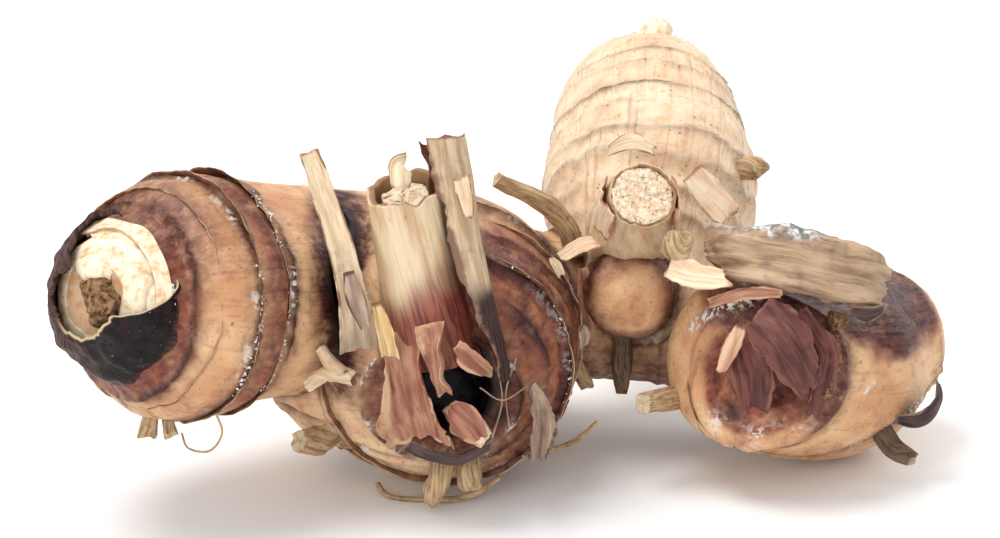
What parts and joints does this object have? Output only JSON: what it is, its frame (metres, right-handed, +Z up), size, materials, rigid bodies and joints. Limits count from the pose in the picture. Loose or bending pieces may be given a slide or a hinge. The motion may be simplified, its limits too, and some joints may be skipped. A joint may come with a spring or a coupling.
{
  "type": "galangal root",
  "caption": "Knobbly galangal rhizome with branching fingers, cut stalks, dry leaf sheaths, torn scales and root stubs, lying free.",
  "frame": {"origin": "middle of the base, on the surface that it rests on", "axes": "+X along the row of fingers, +Y towards the rear finger, +Z up"},
  "size_m": [0.1393, 0.0949, 0.0606],
  "materials": {
    "rhizome_skin": "smooth waxy tan skin, ringed, cream to purple-brown",
    "cream_flesh": "pale fibrous stem tissue, half matt",
    "dry_leaf": "dry papery leaf with fine ribs",
    "brown_scale": "torn red-brown leaf scale, half matt",
    "dark_scale": "thick purple-black scale, moist sheen",
    "root_fibre": "dry corky root fibre, matt"
  },
  "bodies": {
    "root": {"centre_bract": "dry_leaf", "centre_fold": "brown_scale", "centre_membrane": "dry_leaf", "centre_root": "root_fibre", "centre_stalk": "cream_flesh", "centre_stalk_sheath": "dry_leaf", "dry_leaf": "dry_leaf", "dry_leaf_knob": "dry_leaf", "dry_leaf_torn": "dry_leaf", "dry_leaf_underfold": "dark_scale", "flake_lower": "dry_leaf", "flake_upper": "dry_leaf", "floor_fibre": "root_fibre", "forked_fibre": "root_fibre", "front_root_left": "root_fibre", "front_root_right": "root_fibre", "hanging_ribbon": "dry_leaf", "left_bud": "cream_flesh", "left_bud_plug": "root_fibre", "left_bud_scale": "cream_flesh", "left_bud_wrap": "dark_scale", "left_root": "root_fibre", "left_root_back": "root_fibre", "left_root_front": "root_fibre", "left_root_hair": "root_fibre", "left_scale_inner": "brown_scale", "left_scale_middle": "brown_scale", "left_scale_outer": "brown_scale", "left_strip": "dry_leaf", "left_strip_inner": "dry_leaf", "left_strip_tongue": "dry_leaf", "middle_scale_inner": "brown_scale", "middle_scale_outer": "brown_scale", "middle_stalk_core": "cream_flesh", "middle_stalk_curl": "dry_leaf", "middle_stalk_sheath": "cream_flesh", "pleated_sheath": "dry_leaf", "ragged_root": "root_fibre", "rear_bud": "cream_flesh", "rear_root": "root_fibre", "rhizome": "rhizome_skin", "right_root_curled": "root_fibre", "right_root_low": "root_fibre", "right_root_torn": "root_fibre", "root_stick": "root_fibre", "scar_crumb_low": "root_fibre", "scar_crumb_top": "root_fibre", "scar_flake": "dry_leaf", "scar_flap": "dark_scale", "scar_lip": "brown_scale", "tall_sheath": "dry_leaf", "tall_sheath_fold": "dry_leaf", "top_root": "root_fibre", "torn_base_folded": "brown_scale", "torn_base_lip": "dry_leaf", "torn_base_pad": "dark_scale", "torn_base_pale": "dry_leaf", "torn_base_red": "brown_scale", "torn_base_wide": "brown_scale"}
  },
  "joints": []
}
